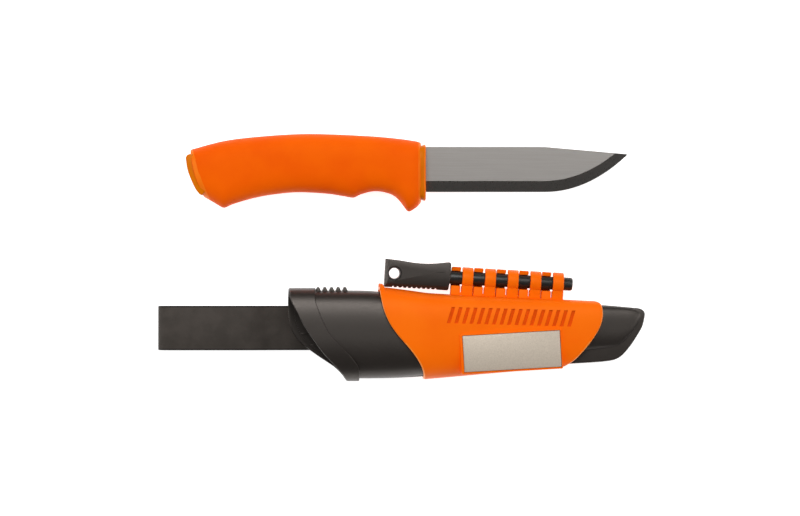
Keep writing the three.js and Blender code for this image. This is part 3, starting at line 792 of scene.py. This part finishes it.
# a foot under each finger of a pair, and a web between the two: low and high corners, and rounding
feet = [((0.25, -12.5, -3.3), (5.3, -4.2, 3.1), 0.5, 3), ((5.9, -12.5, -3.3), (11.85, -4.2, 3.3), 0.5, 3),
        ((4, -12.5, -2.9), (8, -7.6, 2.7), 0.4, 2)]


def sleevePoint(station, turn):
    t, grow = station
    return between(sleeve["left"], sleeve["right"], t, turn, grow,
                   low=lambda x: sleeve["bottom"](x) + sleeve["gap"] + sleeve["wall"],
                   high=lambda x: sleeve["top"](x) - sleeve["gap"] - sleeve["wall"])


def sleeveLevel(x, y):
    # height of the sleeve's front skin
    high, low = sleeve["top"](x), sleeve["bottom"](x)
    off = min(0.98, abs(y - (high + low) / 2) / ((high - low) / 2))
    depth = sheath["front"](x) + sleeve["gap"] + sleeve["wall"]
    return depth * (1 - off ** sheath["power"]) ** (1 / sheath["power"])


def fingerBand(start, width, side):
    # a strap that climbs from the sleeve, passes over the rod on one side and ends beyond its top
    middle, thick = fingers["middle"], fingers["thick"]
    climb = [(-11.5, 1.6), (-9.5, 2.2), (-7.6, 2.5), (-5.9, 2.9)]
    over = [(middle * math.sin(math.radians(a)), middle * math.cos(math.radians(a)))
            for a in steps(-48, 108, 26)]
    path = [Vector((0, y, z)) for y, z in climb + over]

    def bandPoint(i, turn):
        before, after = path[max(i - 1, 0)], path[min(i + 1, len(path) - 1)]
        along = (after - before).normalized()
        out = Vector((1, 0, 0)).cross(along)
        taper = 1 + 0.05 * min(1, max(0, -path[i].y / 8))
        u, v = roundedBox(turn, width * taper, thick, 0.5)
        point = path[i] + out * v
        return start + width / 2 + u, point.y, point.z * side
    return loft(range(len(path)), bandPoint, 20)


def plateRecess():
    # room for the plate and its tape
    long, wide = plateSize["long"] / 2 + 0.25, plateSize["wide"] / 2 + 0.25
    return block((-long, -wide, -plateSize["thick"] - 0.7), (long, wide, 3))


def makeSleeve():
    gap, wall = sleeve["gap"], sleeve["wall"]
    outer = [(t, gap + wall) for t in [0.009, 0.011] + steps(0.016, 0.984, 90) + [0.989, 0.991]]
    right = [(0.997, gap + wall - 0.15), (1, gap + wall - 0.5), (1, gap + 0.3)]
    inner = [(t, gap) for t in steps(0.995, 0.005, 40)]
    left = [(0, gap + 0.3), (0, gap + wall - 0.5), (0.003, gap + wall - 0.15)]
    skin = loft(outer + right + inner + left + outer[:1], sleevePoint, 128, closed=True)
    for face in skin.faces:
        x, y, _ = face.calc_center_median()
        # faces along both rims take the lighter nylon: a painted highlight
        onLitRim = x < sleeve["left"](y) + sleeve["lip"] or x > sleeve["right"](y) - sleeve["lip"]
        face.material_index = 1 if onLitRim else 0
    shell = makePiece("sleeve_shell", [skin], inMetres(sheathMatrix), [looks["sleeve"], looks["lip"]])

    # a plain row of slanted bars sunk into the front
    bars = []
    for i in range(mark["count"]):
        x = mark["first"] + i * mark["pitch"]
        high = mark["top"] - i * mark["pitch"] * mark["drop"]
        low, left = high - mark["long"], x - mark["slant"]
        outline = [(x, high), (x + mark["wide"], high), (left + mark["wide"], low), (left, low)]
        bar = slab(outline[::-1], 0, 1)
        for vert in bar.verts:  # the bar follows the skin, from well above it to the mark's floor
            base = sleeveLevel(vert.co.x, vert.co.y)
            vert.co.z = base + (1.5 if vert.co.z > 0.5 else -mark["deep"])
        bars.append(bar)
    # the bars' cut faces take the darker nylon: painted shade in the recesses
    carve(shell, bars, inMetres(sheathMatrix), looks["mark"])

    # the flat pad that holds the plate
    long, wide = plateSize["long"] / 2, plateSize["wide"] / 2
    padBlock = block((-long - pad["left"], -wide - pad["side"], pad["bottom"]),
                     (long + pad["right"], wide + pad["side"], pad["top"]))
    padPiece = makePiece("pad", [rounded(padBlock, pad["round"], 4)], inMetres(plateMatrix),
                         [looks["sleeve"]])
    for piece in (padPiece, shell):
        carve(piece, [plateRecess()], inMetres(plateMatrix))

    # two ears at the back corner, with room for the handle of the fire steel between them
    ears = [rounded(slab(earLine, low, high), 0.3, 3) for low, high in earLevels]
    earPiece = makePiece("sleeve_ears", ears, inMetres(sheathMatrix), [looks["sleeve"]])

    shapes = []
    for k in range(fingers["pairs"]):
        u = fingers["pitch"] * k
        behind, front = fingers["behind"], fingers["front"]
        shapes.append(fingerBand(u + (behind["start"] if k else fingers["first"]), behind["wide"], -1))
        shapes.append(fingerBand(u + front["start"], front["wide"], 1))
        for low, high, soft, segments in feet:
            foot = block((u + low[0], *low[1:]), (u + high[0], *high[1:]))
            shapes.append(rounded(foot, soft, segments))
    holder = makePiece("rod_fingers", shapes, inMetres(rodMatrix), [looks["sleeve"]])
    for piece in (shell, padPiece, earPiece, holder):
        finish(piece, "sheath", "sleeve_plastic", "carrier_sleeve")


def makePlate():
    long, wide = plateSize["long"] / 2, plateSize["wide"] / 2
    sheet = rounded(block((-long, -wide, -plateSize["thick"]), (long, wide, 0)), 0.12, 2)
    plate = makePiece("abrasive_plate", [sheet], inMetres(plateMatrix), [looks["grit"]])
    finish(plate, "sheath", "plate_abrasive", "sharpener_plate")
    dress("plate_tape", looks["tape"])


makeSleeve()
makePlate()
print("sleeve made")


# ---------- fire steel ----------

knobSize = {"half": 4.25, "soft": 0.55, "low": -7.1, "teethLow": -7.0}
teeth = {"first": -31.5, "pitch": 2.5, "count": 10, "deep": 1.0}
lanyard = {"place": (-29.9, 0.4, 0), "radius": 2.8, "wide": 3.9}


def makeFireSteel():
    r, tip = rodSize["radius"], rodSize["tip"]
    profile = [(0, rodSize["buried"]), (r, rodSize["buried"]), (r, tip - 1.1), (r - 0.15, tip - 0.6),
               (r - 0.5, tip - 0.15), (r - 1, tip), (0, tip)]
    rod = makePiece("fire_rod_bar", [turned(profile, Matrix.Rotation(math.pi / 2, 4, "Y"), 64)],
                    inMetres(rodMatrix), [looks["rod"]])
    finish(rod, "fire_starter", "fire_steel", "fire_rod")

    back = smoothLine((-35, 7.9), (-28, 7.4), (-18, 6.5), (-10, 6.7), (-1.6, 7.9))
    outline = [(x, back(x)) for x in steps(-35, -1.2, 24)]
    outline += [(-0.2, 7.2), (-0.1, 0), (-1.0, -6.4), (-1.6, knobSize["low"])]
    edge, root = knobSize["teethLow"], knobSize["teethLow"] + teeth["deep"]
    for i in reversed(range(teeth["count"])):
        x = teeth["first"] + i * teeth["pitch"]
        outline += [(x + teeth["pitch"] * 0.82, edge), (x + teeth["pitch"] * 0.5, root),
                    (x + teeth["pitch"] * 0.18, edge)]
    outline += [(-34.2, knobSize["low"]), (-35, -6.8)]
    bm = slab(outline[::-1], -knobSize["half"], knobSize["half"])
    softenRims(bm, knobSize["soft"])
    # two flat facets, along the toothed edge and at the far end
    for spot, facing in (((0, -4.7, 4.3), (0, -0.45, 0.89)), ((-33.1, 0, 4.3), (-0.55, 0, 0.835))):
        cut = bmesh.ops.bisect_plane(bm, geom=bm.verts[:] + bm.edges[:] + bm.faces[:], plane_co=spot,
                                     plane_no=facing, clear_outer=True)["geom_cut"]
        bmesh.ops.edgeloop_fill(bm, edges=[part for part in cut if isinstance(part, bmesh.types.BMEdge)])
    knob = makePiece("rod_handle_body", [bm], inMetres(rodMatrix), [looks["black"]], 30)
    radius, wide = lanyard["radius"], lanyard["wide"]
    profile = [(0, -6), (radius, -6), (radius, 1.8), (3.2, 3), (wide, 4.3), (wide, 6), (0, 6)]
    hole = turned(profile, Matrix.Translation(lanyard["place"]))
    carve(knob, [hole, block((-7.5, 1.9, 3.9), (-3.6, 2.35, 6))], inMetres(rodMatrix))
    finish(knob, "fire_starter", "sheath_plastic", "rod_handle")


makeFireSteel()
print("fire steel made")


# ---------- belt loop ----------

def makeStrap():
    layer, high, bend = strap["layer"], strap["loopHeight"], strap["bend"]
    half = layer / 2
    folded = (high - layer) / 2
    centre = strap["fold"] + strap["foldLong"]

    def underCollar(x):
        # the middle of the upper layer where it lies against the dipped collar
        return lift - x * math.sin(dip) - (strap["collarBack"] + strap["gap"]) * math.cos(dip) - half

    # out along the table, round the fold, and back over it to the collar
    path = [(x, half) for x in steps(strap["end"], bend + 4, 8)]
    path += [(x, half) for x in steps(bend + 3, bend - 4, 10)]
    path += [(x, half) for x in steps(bend - 6, centre, 20)]
    path += [(centre - (strap["foldLong"] - half) * math.sin(a), high / 2 - folded * math.cos(a))
             for a in steps(0.12, math.pi - 0.12, 24)]
    top = smoothLine((-86, high - half), (-80, high - half - 0.25), (-70, underCollar(-66) + 0.9),
                     (-63, underCollar(-63)), (-50, underCollar(-50)), (-28, underCollar(-28)))
    path += [(x, top(x)) for x in steps(centre, -84, 12)]
    path += [(x, top(x)) for x in steps(-82, bend + 4, 26)]
    path += [(x, top(x)) for x in steps(bend + 6, strap["end"], 8)]
    points = [Vector((x, 0, z)) for x, z in path]

    def strapPoint(i, turn):
        along = (points[min(i + 1, len(points) - 1)] - points[max(i - 1, 0)]).normalized()
        out = along.cross(Vector((0, 1, 0)))
        u, v = roundedBox(turn, strap["wide"], layer - 0.04, 0.5)
        spot = points[i] + out * v
        # the fold bows out a little at its two edges
        nearFold = max(0, 1 - (spot.x - strap["fold"]) / strap["bowLong"])
        bow = strap["bow"] * nearFold * ((2 * u / strap["wide"]) ** 2 - 0.6)
        return max(spot.x + bow, strap["fold"]), strap["middle"] + u, max(spot.z, 0.02)
    bm = loft(range(len(points)), strapPoint, 20)
    belt = makePiece("belt_strap", [bm], Matrix.Identity(4), [looks["leather"]])
    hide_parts("strap_end", "strap_loop")
    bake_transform(belt)


makeStrap()
for name in ("rivet_post_1", "rivet_post_2", "rivet_cap_1", "rivet_cap_2"):
    dress(name, looks["rivet"])
print("belt loop made")
